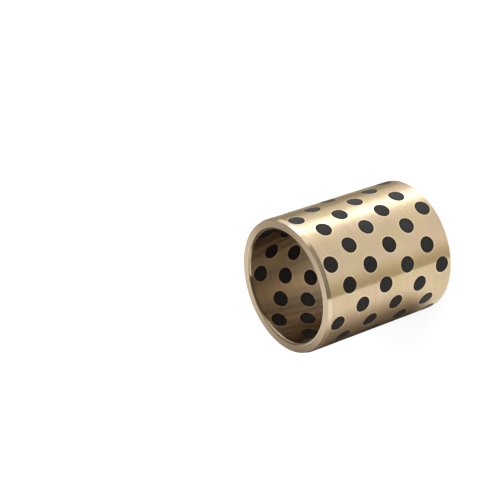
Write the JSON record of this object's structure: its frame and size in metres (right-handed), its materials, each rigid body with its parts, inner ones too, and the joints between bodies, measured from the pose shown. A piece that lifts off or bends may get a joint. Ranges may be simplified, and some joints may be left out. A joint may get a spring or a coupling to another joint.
{
  "type": "graphite plugged bushing",
  "caption": "Plain cylindrical bronze sleeve bearing with graphite plugs set flush through its wall in staggered rings, and a tapered lead-in at one end.",
  "frame": {"origin": "centre of the foot, the flat end face without the lead-in taper, on the bore axis", "axes": "+Z along the bore axis towards the end with the lead-in taper; +X through the middle of the lowest ring's first plug"},
  "size_m": [0.065, 0.065, 0.075],
  "materials": {
    "bronze": "fine turned, bright",
    "graphite": "turned flush, matt to satin"
  },
  "bodies": {
    "root": {"bronze_sleeve": "bronze", "graphite_plugs_line_01": "graphite", "graphite_plugs_line_02": "graphite", "graphite_plugs_line_03": "graphite", "graphite_plugs_line_04": "graphite", "graphite_plugs_line_05": "graphite", "graphite_plugs_line_06": "graphite", "graphite_plugs_line_07": "graphite", "graphite_plugs_line_08": "graphite", "graphite_plugs_line_09": "graphite", "graphite_plugs_line_10": "graphite", "graphite_plugs_line_11": "graphite", "graphite_plugs_line_12": "graphite", "graphite_plugs_line_13": "graphite", "graphite_plugs_line_14": "graphite", "graphite_plugs_line_15": "graphite", "graphite_plugs_line_16": "graphite", "graphite_plugs_line_17": "graphite", "graphite_plugs_line_18": "graphite", "graphite_plugs_line_19": "graphite", "graphite_plugs_line_20": "graphite", "graphite_plugs_line_21": "graphite", "graphite_plugs_line_22": "graphite", "graphite_plugs_line_23": "graphite", "graphite_plugs_line_24": "graphite", "graphite_plugs_line_25": "graphite", "graphite_plugs_line_26": "graphite", "graphite_plugs_line_27": "graphite", "graphite_plugs_line_28": "graphite", "graphite_plugs_line_29": "graphite", "graphite_plugs_line_30": "graphite", "graphite_plugs_line_31": "graphite", "graphite_plugs_line_32": "graphite", "graphite_plugs_line_33": "graphite", "graphite_plugs_line_34": "graphite", "graphite_plugs_line_35": "graphite"}
  },
  "joints": []
}
